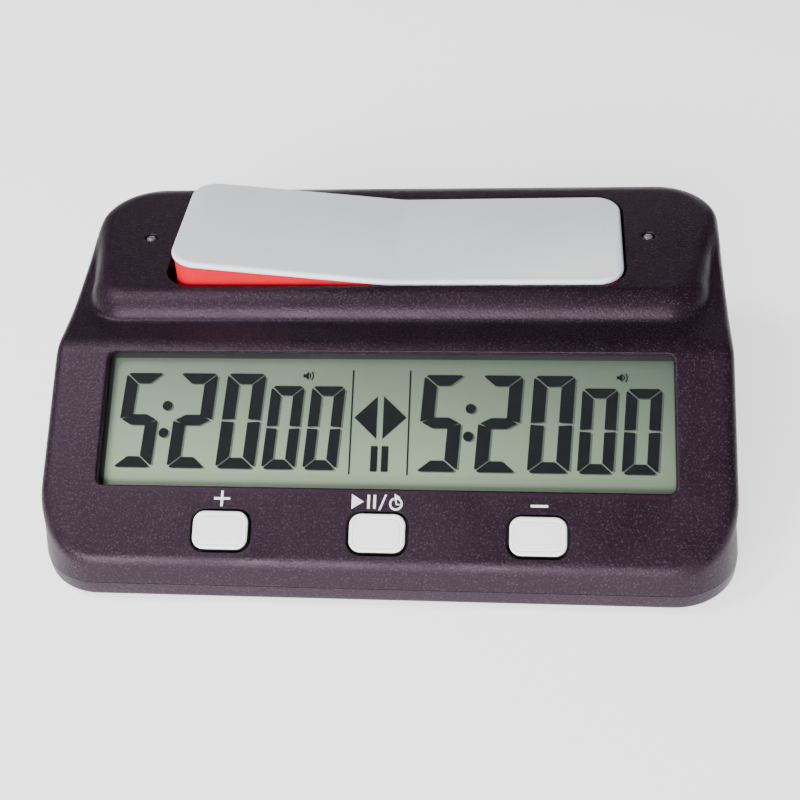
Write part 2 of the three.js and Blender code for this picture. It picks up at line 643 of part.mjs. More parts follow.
// ---- Display and main board ---------------------------------------------------------------
function displayStack() {
  const { halfWidth: x, low, high, depth } = WINDOW;
  const lens = roundedRect(-x - 2.2, low - 2.2, x + 2.2, high + 1, 1.4);
  const top = -depth - GAP;
  place(panel, 'display_window', prism(lens, top - LENS_THICKNESS, top, 3), clearPlastic());

  const glassTop = top - LENS_THICKNESS - GAP;
  const glassLow = glassTop - LCD_THICKNESS;
  place(panel, 'lcd_panel', block(-x - 0.6, x + 0.6, low - 1, high + 0.6, glassLow, glassTop),
    displayGlass());

  const edge = 2;
  const margin = GAP + 0.6;
  const [fx, f0, f1] = [x + margin, low - 1 - GAP, high + margin];
  const ring = cut(solid(block(-fx - edge, fx + edge, f0 - edge, f1 + 0.7, BOARD_LEVEL + GAP,
    glassTop)), [solid(block(-fx, fx, f0, f1, -FAR, 0))]);
  const shelf = solid(block(-fx - 0.5, fx + 0.5, f1 - 1.6, f1 + 0.5, BOARD_LEVEL + GAP,
    glassLow - GAP));
  place(panel, 'lcd_frame', geometryOf(ring.add(shelf)), innerPlastic());

  place(panel, 'contact_strip', block(-48, 48, low + 0.4, low + 2.6, BOARD_LEVEL + GAP,
    glassLow - GAP), material(0xc77f8e, 0.8));
}

function buttonsAndSwitches() {
  const names = ['plus', 'play', 'minus'];
  names.forEach((name, i) => {
    const x = BUTTON.x[i];
    const cap = pillow(buttonOutline(x, 0), -2, BUTTON_PROUD, 0.8, 2, 2);
    const { grow, depth } = BUTTON_FLANGE;
    const flange = prism(buttonOutline(x, grow), -depth, -WALL - GAP, 2);
    const stem = post(x, BUTTON.s, -depth - GAP, -WALL, 2, 12);
    const crown = solid(cap).intersect(above(-WALL - 0.4));
    const pressed = join([crown, solid(flange), solid(stem)]);
    place(panel, `button_cap_${name}`, geometryOf(pressed), buttonPlastic());

    const { half, height, wellRadius, plungerRadius, plungerTop } = TACT;
    const well = post(0, 0, 0.7, FAR, wellRadius, 12);
    const can = solid(block(-half, half, -half, half, 0, height - 0.1)).subtract(solid(well));
    const body = place(panel, `tact_switch_${name}`, geometryOf(can), innerPlastic());
    body.position.set(x, BUTTON.s, BOARD_LEVEL + GAP);

    const tip = post(x, BUTTON.s, plungerTop - 2.3, plungerTop, plungerRadius, 12);
    place(panel, `tact_plunger_${name}`, tip, material(0x8a2f2a, 0.5));
  });
}

// The parts on the main board's underside: place on the panel, size, and facets of round ones.
const CHIP = { halfWidth: 7, low: 22, high: 36, height: 1.8 };
const CRYSTAL = { x: 14, s: 27, radius: 1.5, height: 6, facets: 12 };
const CAPACITOR = { x: -18, s: 29, radius: 2.5, height: 7, facets: 14 };
const SOUNDER = { x: 34, s: 30, radius: 6, height: 5, facets: 20 };
const SOUNDER_HOLE = { radius: 1.2, depth: 1.5, facets: 12 };

function roundPart({ x, s, radius, height, facets }, under) {
  return post(x, s, under - height, under, radius, facets);
}

function mainBoard() {
  const low = BOARD_LEVEL - BOARD_THICKNESS;
  const board = solid(block(-BOARD.halfWidth, BOARD.halfWidth, BOARD.low, BOARD.high, low,
    BOARD_LEVEL));
  const holes = SIDES.map(([, sign]) =>
    solid(post(sign * BOARD_SCREW.x, BOARD_SCREW.s, low - 1, 0, SCREW_BOSS.bore + 0.1)));
  place(panel, 'main_board', geometryOf(cut(board, holes)), boardLaminate());
  for (const [side, sign] of SIDES) {
    const mesh = place(panel, `main_board_screw_${side}`, screw(2.4, 1.4, 1, 5.4), steel());
    mesh.position.set(sign * BOARD_SCREW.x, BOARD_SCREW.s, low - GAP);
  }

  const under = low - GAP;
  const chip = block(-CHIP.halfWidth, CHIP.halfWidth, CHIP.low, CHIP.high,
    under - CHIP.height, under);
  place(panel, 'controller_chip', chip, innerPlastic());
  place(panel, 'timing_crystal', roundPart(CRYSTAL, under), steel());
  place(panel, 'filter_capacitor', roundPart(CAPACITOR, under), innerPlastic());
  const mouth = under - SOUNDER.height;
  const hole = post(SOUNDER.x, SOUNDER.s, mouth - 1, mouth + SOUNDER_HOLE.depth,
    SOUNDER_HOLE.radius, SOUNDER_HOLE.facets);
  const sounder = cut(solid(roundPart(SOUNDER, under)), [solid(hole)]);
  place(panel, 'sounder', geometryOf(sounder), innerPlastic());
}

// A flat ribbon from the main board's underside to the rocker board's front edge.
function ribbonCable() {
  // (y, z) along its upper face, from the main board back to the rocker board
  const upper = [[-9.6, 22.6], [-6, 18], [0, 15.2], [6, 14.6], [11.6, 14.6]];
  const lower = upper.map(([y, z]) => [y - 0.3, z - 0.7]).reverse();
  const strip = alongX([...lower, ...upper], -36, -24);
  place(clock, 'ribbon_cable', strip, material(0x8c8f94, 0.6));
}

// ---- Power --------------------------------------------------------------------------------
// The upright plate at one end of the cell, with the tab that its wire is soldered to.
function contactPlate(sign) {
  const { inner, outer, low, high, half, tab, tabTop } = CONTACT;
  const ends = [sign * inner, sign * outer];
  const [x0, x1] = [Math.min(...ends), Math.max(...ends)];
  const plate = solid(block(x0, x1, BATTERY.y - half, BATTERY.y + half, low, high));
  return plate.add(solid(block(x0, x1, BATTERY.y - tab, BATTERY.y + tab, high - 0.1, tabTop)));
}

// The conical spring's centreline, widening from the cell to its plate.
function springPoints() {
  const turns = 3;
  const perTurn = 8;
  const small = { radius: 2.4, x: BATTERY.negative - 0.7 };
  const grow = { radius: 1.4, x: -2.6 };
  return Array.from({ length: turns * perTurn + 1 }, (_, i) => {
    const angle = (i / perTurn) * Math.PI * 2;
    const share = i / (turns * perTurn);
    const r = small.radius + grow.radius * share;
    return [small.x + grow.x * share, BATTERY.y + r * Math.cos(angle),
      BATTERY.z + r * Math.sin(angle)];
  });
}

// From a contact's tab, round the end of the rocker board, to the main board's underside.
function wireRoute(sign) {
  const points = [[28.7, BATTERY.y - 0.4, 19.9], [34, 34, 20.5], [42, 25, 14], [42, 12, 9],
    [31, -2, 12], [20, -11, 17.6]];
  return points.map(([x, y, z]) => [sign * x, y, z]);
}

function power() {
  const { y, z, radius, negative: end, positive: tip } = BATTERY;
  const button = { radius: 2.7, height: 1.4 };
  const shoulder = tip - button.height;
  const cell = turned([[0, end], [radius, end], [radius, shoulder], [button.radius, shoulder],
    [button.radius, tip], [0, tip]], 20);
  cell.rotateY(Math.PI / 2).translate(0, y, z);
  place(clock, 'battery_cell', cell, material(0x3f5f8f, 0.4));

  const dimple = solid(rodAlongX(y, z, tip + GAP, CONTACT.inner + 0.2, 1.8, 12));
  place(clock, 'contact_positive', geometryOf(contactPlate(1).add(dimple)), steel());

  const coil = springPoints();
  const [footX, footY, footZ] = coil[coil.length - 1];
  const spring = solid(tube(coil, 0.35, 36, 6));
  const foot = solid(rodAlongX(footY, footZ, -CONTACT.inner - 0.3, footX + 0.2, 0.5, 8));
  place(clock, 'contact_negative', geometryOf(join([contactPlate(-1), spring, foot])), steel());

  const wireRadius = 0.6;
  place(clock, 'battery_wire_red', tube(wireRoute(1), wireRadius, 20), material(0xb02020, 0.5));
  place(clock, 'battery_wire_black', tube(wireRoute(-1), wireRadius, 20),
    material(0x141414, 0.5));
}

function powerSwitch() {
  const { x, z, travel } = POWER_SWITCH;
  const inner = HALF_DEPTH - WALL - 0.8;
  const can = { halfWidth: 7.5, halfHeight: 3.4, depth: 6 };
  const room = { halfWidth: 4.6, halfHeight: 2.1, depth: 3.4 };
  const [outside, inside] = [can, room].map(({ halfWidth, halfHeight, depth }, i) =>
    solid(block(x - halfWidth, x + halfWidth, inner - depth, inner + i, z - halfHeight,
      z + halfHeight)));
  place(clock, 'power_switch_body', geometryOf(outside.subtract(inside)), steel());

  const middle = x - travel / 2;
  const knob = { halfWidth: 2.2, halfHeight: 1.5, rear: HALF_DEPTH - 0.9 };
  const groove = { x: 0.9, half: 0.3, depth: 0.4 };
  const bar = solid(block(middle - knob.halfWidth, middle + knob.halfWidth, inner - 3, knob.rear,
    z - knob.halfHeight, z + knob.halfHeight));
  const grooves = [middle - groove.x, middle + groove.x].map((gx) =>
    solid(block(gx - groove.half, gx + groove.half, knob.rear - groove.depth, HALF_DEPTH,
      z - 2, z + 2)));
  place(clock, 'power_switch_slider', geometryOf(cut(bar, grooves)), innerPlastic());
}

// ---- Assembly -----------------------------------------------------------------------------
topHousing();
bottomCover();
batteryDoor();
feet();
caseScrews();
rockerCap();
rockerSkirt();
rockerAxle();
rockerCradle();
cradleScrews();
rockerStopsAndSwitches();
rockerBoard();
indicatorLeds();
displayStack();
buttonsAndSwitches();
mainBoard();
ribbonCable();
power();
powerSwitch();

export default clock;
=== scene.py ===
"""Looks of a digital chess clock: moulded wedge housing, seesaw rocker, LCD and three buttons.

Lengths are millimetres until make_mesh, which writes metres. X across, Y back, Z up.
"""
import json
import math

import bmesh
import bpy
import numpy as np
from mathutils import Matrix, Vector


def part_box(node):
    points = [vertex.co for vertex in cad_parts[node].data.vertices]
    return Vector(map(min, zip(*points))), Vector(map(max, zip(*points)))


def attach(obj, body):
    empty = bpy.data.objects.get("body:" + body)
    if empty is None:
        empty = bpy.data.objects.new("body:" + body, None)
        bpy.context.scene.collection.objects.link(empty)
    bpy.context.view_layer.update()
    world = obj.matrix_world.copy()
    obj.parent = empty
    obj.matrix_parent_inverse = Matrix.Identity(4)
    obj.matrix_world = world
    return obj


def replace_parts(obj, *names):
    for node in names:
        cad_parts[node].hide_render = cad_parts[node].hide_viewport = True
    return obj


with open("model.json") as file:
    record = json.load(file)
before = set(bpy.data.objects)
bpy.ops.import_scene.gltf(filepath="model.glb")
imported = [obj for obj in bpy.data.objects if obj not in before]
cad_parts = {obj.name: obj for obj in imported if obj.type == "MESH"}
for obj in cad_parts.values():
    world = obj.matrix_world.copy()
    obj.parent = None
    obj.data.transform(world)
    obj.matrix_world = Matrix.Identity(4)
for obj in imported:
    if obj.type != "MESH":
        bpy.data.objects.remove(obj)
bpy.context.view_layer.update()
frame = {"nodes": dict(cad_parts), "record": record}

NODES = frame["nodes"]
MM = 0.001

# ---- Driving dimensions, as in the CAD ------------------------------------------------------
HALF_WIDTH, HALF_DEPTH, PLAN_RADIUS, WALL = 74.0, 49.2, 14.0, 2.2
DRAFT, SKIRT_RISE = 0.85, 7.0
COVER_LOW, PARTING, GAP, SEAM = 0.8, 5.0, 0.3, 0.05
FRONT_LEAN, FRONT_TOP = 1.0, 10.75
PLATEAU, PLATEAU_Y, HUMP_TOP, REAR_LEAN = 36.7, -8.4, 41.5, 0.8
PANEL_Y = FRONT_LEAN - HALF_DEPTH
PANEL_ANGLE = math.atan2(PLATEAU - FRONT_TOP, PLATEAU_Y - PANEL_Y)
PANEL = Matrix.Translation((0, PANEL_Y, FRONT_TOP)) @ Matrix.Rotation(PANEL_ANGLE, 4, "X")

WINDOW_X, WINDOW_LOW, WINDOW_HIGH, WINDOW_DEPTH = 60.6, 16.3, 45.9, 1.6
LCD_TOP = -3.2
BUTTON_X = {"plus": -32.8, "play": 0.0, "minus": 32.8}
BUTTON_S, BUTTON_SIZE, BUTTON_PROUD = 6.9, (5.8, 4.0, 2.4), 0.9

AXLE_Y, AXLE_Z = 23.85, 31.0
ROCKER_ARM, ROCKER_HALF, ROCKER_RADIUS, ROCKER_CAP, ROCKER_DEPTH = 50.3, 16.75, 6.0, 1.35, 8.2
ROCKER_RISE, ROCKER_TILT, BEND = math.radians(3.4), math.radians(3.0), 11.0
ROCKER = Matrix.Translation((0, AXLE_Y, AXLE_Z)) @ Matrix.Rotation(ROCKER_TILT, 4, "Y")
WELL_X, WELL_FRONT, WELL_REAR, WELL_RADIUS = 51.5, 6.45, 41.3, 6.5
PLUNGER_X, PAD_X = 30.0, 43.0
LED_Y, LED_RADIUS = 25.4, 1.1

BAY_X, BAY_FRONT, BAY_REAR, BAY_TOP, BAY_WALL = 31.0, 30.4, 46.4, 15.0, 1.4
DOOR_X, DOOR_STEP = 29.3, 1.0
CASE_SCREWS = [(s * x, y) for x, y in ((62.0, -39.0), (63.0, 38.0)) for s in (-1, 1)]
FEET = [(s * 47.0, t * 39.0) for t in (-1, 1) for s in (-1, 1)]
FOOT_RADIUS, FOOT_RISE = 4.5, 1.1
SWITCH_X, SWITCH_Z = 47.0, 14.0

# ---- Housing shape: each RUN is the range of y over which a value changes ----------------------
SHOULDER_RISE, SHOULDER_RUN = 3.7, (1, 37)
FLANK, FLANK_GAIN, FLANK_RUN = 69.4, 4.4, (9, 36)
HUMP_CORNER, HUMP_CORNER_GAIN, HUMP_CORNER_RUN = 10.0, 4.0, (20, 30)
HUMP_FRONT, HUMP_RADIUS, HUMP_RADIUS_GAIN, HUMP_RADIUS_RUN = -0.35, 4.7, 2.3, (2, 16)
CREST_WIDTH, HUMP_FOOT_WIDTH = 1.4, 1.0
EDGE, PANEL_EDGE_GAIN, PANEL_EDGE_RUN = 1.2, 1.3, (-47, -40)
REAR_EDGE_LOSS, REAR_EDGE_RUN = 1.0, (20, 34)
CELL, QUICK_CELL, ROOM_CELL = 0.7, 1.1, 2.0

# ---- Openings, bosses and edges --------------------------------------------------------------
FAR = 20.0
WELL_RIM, LED_RIM, LED_CLEARANCE, WINDOW_RIM, BUTTON_RIM, BUTTON_CLEARANCE = (
    0.25, 0.5, 0.3, 0.5, 0.15, 0.6)
WINDOW_RADIUS, POCKET_SIDE, POCKET_TOP = 1.6, 2.6, 1.3
SWITCH_RECESS, SWITCH_SLOT = (6.5, 1.4, 3.6), (4.2, 5.0, 1.9)
COVER_EDGE, COVER_FLOOR = 1.3, 2.0
BOSS_RADIUS, BOSS_TOP, HEAD_RADIUS, HEAD_TOP, SHANK_RADIUS, SHANK_TOP = 4.6, 7.0, 3.2, 4.6, 1.8, 8.0
RAIL_TOP = 4.4
SKIRT_INSET, SKIRT_WALL = 0.35, 1.6
LOBE_RADIUS, LOBE_WIDTH, AXLE_HOLE, RIB_HALF = 4.2, 2.4, 1.8, (3.0, 5.0)
CROWN_RADIUS, CREASE_DEPTH = 0.38, 0.22
FLANGE, FLANGE_LOW, STEM_LOW, STEM_RADIUS = 1.1, -3.5, -3.8, 2.0
SKIRT_START, GAP_START, GAP_REACH = -0.3, -0.2, 0.7
LENS_BASE, LENS_BASE_RADIUS, LENS_STEP, LENS_TOP, LENS_DOME = 34.5, 1.7, 38.9, 40.9, 0.7


# ---- Mesh building --------------------------------------------------------------------------
def make_mesh(name, points, faces):
    mesh = bpy.data.meshes.new(name)
    mesh.from_pydata([tuple(c * MM for c in p) for p in points], [], faces)
    mesh.update()
    piece = bpy.data.objects.new(name, mesh)
    bpy.context.scene.collection.objects.link(piece)
    return piece


def moved(piece, matrix):
    """Moves a piece's points by a matrix whose shift is in millimetres."""
    metres = matrix.copy()
    metres.translation = matrix.translation * MM
    piece.data.transform(metres)
    return piece


def smooth(piece, degrees=32):
    piece.data.shade_smooth()
    piece.data.set_sharp_from_angle(angle=math.radians(degrees))
    return piece


def rounded_rect(half_x, half_y, radius, centre=(0, 0), steps=10):
    radius = max(radius, 0.02)
    outline = []
    for corner, (sx, sy) in enumerate(((1, -1), (1, 1), (-1, 1), (-1, -1))):
        for i in range(steps + 1):
            angle = math.pi / 2 * (corner - 1 + i / steps)
            x = sx * (half_x - radius) + radius * math.cos(angle)
            y = sy * (half_y - radius) + radius * math.sin(angle)
            outline.append((centre[0] + x, centre[1] + y))
    return outline


def loft(name, levels):
    """A closed solid through outlines of equal length, each given with its height."""
    n = len(levels[0][0])
    points = [(x, y, z) for outline, z in levels for x, y in outline]
    faces = [tuple(reversed(range(n)))]
    for k in range(len(levels) - 1):
        low, high = k * n, (k + 1) * n
        for i in range(n):
            j = (i + 1) % n
            faces.append((low + i, low + j, high + j, high + i))
    faces.append(tuple(range((len(levels) - 1) * n, len(levels) * n)))
    return make_mesh(name, points, faces)


def plate(name, size, profile, centre=(0, 0), steps=10):
    """A rounded-rectangle solid; the profile lists (inset, height) from bottom to top."""
    half_x, half_y, radius = size
    return loft(name, [
        (rounded_rect(half_x - d, half_y - d, radius - d, centre, steps), z) for d, z in profile
    ])


def eased(low, high, radius, steps=5):
    """A profile that goes straight up and rounds inward at the top."""
    arc = [math.pi / 2 * i / steps for i in range(steps + 1)]
    rounded = [(radius * (1 - math.cos(a)), high - radius * (1 - math.sin(a))) for a in arc]
    return [(0, low), *rounded]


def flared(low, rim, high, radius, steps=5):
    """A cutter's profile that leaves a rounded rim of the given radius at the rim height."""
    arc = [math.pi / 2 * i / steps for i in range(steps + 1)]
    rounded = [(-radius * (1 - math.cos(a)), rim - radius * (1 - math.sin(a))) for a in arc]
    return [(0, low), *rounded, (-radius, high)]


def block(name, x0, x1, y0, y1, z0, z1):
    centre = ((x0 + x1) / 2, (y0 + y1) / 2)
    return plate(name, ((x1 - x0) / 2, (y1 - y0) / 2, 0.05), [(0, z0), (0, z1)], centre, 1)


def post(name, x, y, z0, z1, radius):
    return plate(name, (radius, radius, radius), [(0, z0), (0, z1)], (x, y), 8)


def turned(name, profile, sides=40):
    """A turned solid standing on Z: (radius, height) points that start and end near the axis."""
    turn = [math.tau * i / sides for i in range(sides)]
    return loft(name, [
        ([(max(r, 0.01) * math.cos(a), max(r, 0.01) * math.sin(a)) for a in turn], z)
        for r, z in profile
    ])


def boolean(base, operation, tools):
    for tool in tools:
        step = base.modifiers.new(operation, "BOOLEAN")
        step.operation = operation
        step.solver = "MANIFOLD"
        step.object = tool
    graph = bpy.context.evaluated_depsgraph_get()
    result = bpy.data.meshes.new_from_object(base.evaluated_get(graph))
    base.modifiers.clear()
    base.data = result
    for tool in tools:
        bpy.data.objects.remove(tool)
    return base


def carve(base, *tools):
    return boolean(base, "DIFFERENCE", tools)


def unite(base, *tools):
    return boolean(base, "UNION", tools)


# ---- Implicit surfaces ----------------------------------------------------------------------
def ramp(low, high, value):
    t = np.clip((value - low) / (high - low), 0, 1)
    return t * t * (3 - 2 * t)


def meet(a, b, radius):
    """Where two solids overlap, with the edge between them rounded."""
    outside = np.hypot(np.maximum(a + radius, 0), np.maximum(b + radius, 0))
    return np.minimum(np.maximum(a, b), -radius) + outside


def blend(a, b, width):
    """Two solids joined, with a soft inner corner."""
    t = np.clip(0.5 + 0.5 * (b - a) / width, 0, 1)
    return b * (1 - t) + a * t - width * t * (1 - t)


def plan_distance(x, y, half_x, front, rear, radius):
    qx = np.abs(x) - half_x + radius
    qy = np.abs(y - (front + rear) / 2) - (rear - front) / 2 + radius
    outside = np.hypot(np.maximum(qx, 0), np.maximum(qy, 0))
    return np.minimum(np.maximum(qx, qy), 0) + outside - radius


def housing(x, y, z):
    """Distance to the moulded top housing's outer skin."""
    up = np.clip((z - PARTING) / (HUMP_TOP - PARTING), 0, 1)
    front = -HALF_DEPTH + FRONT_LEAN * np.clip((z - PARTING) / (FRONT_TOP - PARTING), 0, 1.6)
    rear = HALF_DEPTH - REAR_LEAN * up
    lean = DRAFT * np.clip((z - PARTING) / SKIRT_RISE, 0, 1)
    walls = plan_distance(x, y, HALF_WIDTH - lean, front, rear, PLAN_RADIUS)
    slope = (z - FRONT_TOP) * math.cos(PANEL_ANGLE) - (y - PANEL_Y) * math.sin(PANEL_ANGLE)
    shoulder = PLATEAU + SHOULDER_RISE * ramp(*SHOULDER_RUN, y)
    roof = -blend(-slope, shoulder - z, CREST_WIDTH)
    flank = FLANK + FLANK_GAIN * ramp(*FLANK_RUN, y)
    corner = HUMP_CORNER + HUMP_CORNER_GAIN * ramp(*HUMP_CORNER_RUN, y)
    hump_plan = plan_distance(x, y, flank, HUMP_FRONT, HALF_DEPTH - REAR_LEAN + 0.1, corner)
    hump_edge = HUMP_RADIUS + HUMP_RADIUS_GAIN * (1 - ramp(*HUMP_RADIUS_RUN, y))
    hump = meet(hump_plan, z - HUMP_TOP, hump_edge)
    top = blend(roof, hump, HUMP_FOOT_WIDTH)
    edge = (EDGE + PANEL_EDGE_GAIN * ramp(*PANEL_EDGE_RUN, y)
            - REAR_EDGE_LOSS * ramp(*REAR_EDGE_RUN, y))
    return meet(walls, top, edge)


def polygonise(name, distance, low, high, cell):
    """A mesh of the surface where distance is zero: one point in each cell that it crosses."""
    axes = [np.arange(a, b + cell, cell) for a, b in zip(low, high)]
    values = distance(*np.meshgrid(*axes, indexing="ij"))
    solid = values < 0
    count = sum(
        solid[i:solid.shape[0] - 1 + i, j:solid.shape[1] - 1 + j, k:solid.shape[2] - 1 + k]
        .astype(np.int8) for i in (0, 1) for j in (0, 1) for k in (0, 1)
    )
    crossed = (count > 0) & (count < 8)
    number = np.full(crossed.shape, -1)
    number[crossed] = np.arange(crossed.sum())
    points = np.argwhere(crossed) * cell + np.array(low) + cell / 2
    probe = 0.02
    for _ in range(5):
        here = distance(*points.T)
        slope = np.stack([
            distance(*(points + probe * axis).T) - distance(*(points - probe * axis).T)
            for axis in np.eye(3)
        ], 1) / (2 * probe)
        steepness = np.maximum((slope ** 2).sum(1), 0.05)
        points = points - slope * (here / steepness)[:, None]
    faces = []
    for axis in range(3):
        first = np.take(solid, range(solid.shape[axis] - 1), axis)
        second = np.take(solid, range(1, solid.shape[axis]), axis)
        at = np.argwhere(first != second)
        u, v = [(1, 2), (2, 0), (0, 1)][axis]
        inner = (at[:, u] > 0) & (at[:, v] > 0)
        inner &= (at[:, u] < solid.shape[u] - 1) & (at[:, v] < solid.shape[v] - 1)
        at = at[inner]
        quads = []
        for du, dv in ((1, 1), (0, 1), (0, 0), (1, 0)):
            back = at.copy()
            back[:, u] -= du
            back[:, v] -= dv
            quads.append(number[tuple(back.T)])
        quads = np.stack(quads, 1)
        leaving = first[tuple(at.T)]
        quads[~leaving] = quads[~leaving][:, ::-1]
        faces.extend(map(tuple, quads.tolist()))
    return make_mesh(name, points.tolist(), faces)


# ---- Materials ------------------------------------------------------------------------------
def new_material(name):
    look = bpy.data.materials.new(name)
    look.use_nodes = True
    tree = look.node_tree
    shader = tree.nodes["Principled BSDF"]
    where = tree.nodes.new("ShaderNodeTexCoord").outputs["Object"]
    return look, tree, shader, where


def noise(tree, where, size_mm, detail=4.0, rough=0.6):
    node = tree.nodes.new("ShaderNodeTexNoise")
    node.inputs["Scale"].default_value = 1 / (size_mm * MM)
    node.inputs["Detail"].default_value = detail
    node.inputs["Roughness"].default_value = rough
    tree.links.new(where, node.inputs["Vector"])
    return node.outputs["Fac"]


def remap(tree, value, low, high, to_low, to_high):
    node = tree.nodes.new("ShaderNodeMapRange")
    for key, number in zip(("From Min", "From Max", "To Min", "To Max"),
                           (low, high, to_low, to_high)):
        node.inputs[key].default_value = number
    tree.links.new(value, node.inputs["Value"])
    return node.outputs["Result"]


def mixed(tree, factor, first, second):
    """Between two colours; each is a colour or another node's output."""
    node = tree.nodes.new("ShaderNodeMix")
    node.data_type = "RGBA"
    tree.links.new(factor, node.inputs["Factor"])
    for key, value in (("A", first), ("B", second)):
        socket = [s for s in node.inputs if s.name == key and s.type == "RGBA"][0]
        if isinstance(value, bpy.types.NodeSocket):
            tree.links.new(value, socket)
        else:
            socket.default_value = (*value, 1)
    return [s for s in node.outputs if s.type == "RGBA"][0]


def shade_of(colour, factor):
    return tuple(min(c * factor, 1.0) for c in colour)


SPECKLE, SPECKLE_SIZE = (0.16, 0.13, 0.16), 0.36


def finish(name, colour, rough, grain=0.5, relief=0.01, vary=0.12, patch=9.0, wear_and_highlight=0.0,
           metal=0.0, coat=0.0, specular=0.5, speck=0.0, spread=0.08, gloss_tint=(1, 1, 1)):
    """A moulded, cast or rolled surface: patchy colour, fine grain, and edges lightened partly as
    wear and partly as a painted highlight.
    """
    look, tree, shader, where = new_material(name)
    broad = noise(tree, where, patch)
    fine = noise(tree, where, grain, 3.0, 0.6)
    tint = remap(tree, broad, 0.3, 0.7, 0, 1)
    body = mixed(tree, tint, shade_of(colour, 1 - vary), shade_of(colour, 1 + vary))
    if speck:
        dots = remap(tree, noise(tree, where, SPECKLE_SIZE, 1.0), 0.56, 0.72, 0, speck)
        body = mixed(tree, dots, body, SPECKLE)
    # Lighter convex edges: partly wear, partly a painted highlight along the rims.
    if wear_and_highlight:
        geometry = tree.nodes.new("ShaderNodeNewGeometry")
        edge = remap(tree, geometry.outputs["Pointiness"], 0.52, 0.60, 0, wear_and_highlight)
        body = mixed(tree, edge, body, shade_of(colour, 2.2))
    tree.links.new(body, shader.inputs["Base Color"])
    tree.links.new(remap(tree, broad, 0.3, 0.7, rough - spread, rough + spread),
                   shader.inputs["Roughness"])
    bump = tree.nodes.new("ShaderNodeBump")
    bump.inputs["Strength"].default_value = 0.6
    bump.inputs["Distance"].default_value = relief * MM
    tree.links.new(fine, bump.inputs["Height"])
    tree.links.new(bump.outputs["Normal"], shader.inputs["Normal"])
    shader.inputs["Metallic"].default_value = metal
    shader.inputs["Coat Weight"].default_value = coat
    shader.inputs["Coat Roughness"].default_value = 0.08
    shader.inputs["Specular IOR Level"].default_value = specular
    shader.inputs["Specular Tint"].default_value = (*gloss_tint, 1)
    return look


HEAD_ON_GLOSS, GRAZING_POWER = 0.035, 5.0


def see_through(name, tint, clearness, rough):
    """A clear or smoked sheet: mostly open, with a gloss that grows towards grazing angles."""
    look, tree, shader, where = new_material(name)
    shader.inputs["Base Color"].default_value = (*tint, 1)
    streaks = noise(tree, where, 14.0)
    tree.links.new(remap(tree, streaks, 0.3, 0.7, rough * 0.6, rough * 1.5),
                   shader.inputs["Roughness"])
    clear = tree.nodes.new("ShaderNodeBsdfTransparent")
    mix = tree.nodes.new("ShaderNodeMixShader")
    facing = tree.nodes.new("ShaderNodeLayerWeight").outputs["Facing"]
    grazing = tree.nodes.new("ShaderNodeMath")
    grazing.operation = "POWER"
    grazing.inputs[1].default_value = GRAZING_POWER
    tree.links.new(facing, grazing.inputs[0])
    amount = remap(tree, grazing.outputs[0], 0, 1, 1 - clearness + HEAD_ON_GLOSS, 1)
    tree.links.new(amount, mix.inputs["Fac"])
    tree.links.new(clear.outputs[0], mix.inputs[1])
    tree.links.new(shader.outputs[0], mix.inputs[2])
    output = tree.nodes["Material Output"]
    tree.links.new(mix.outputs[0], output.inputs["Surface"])
    return look


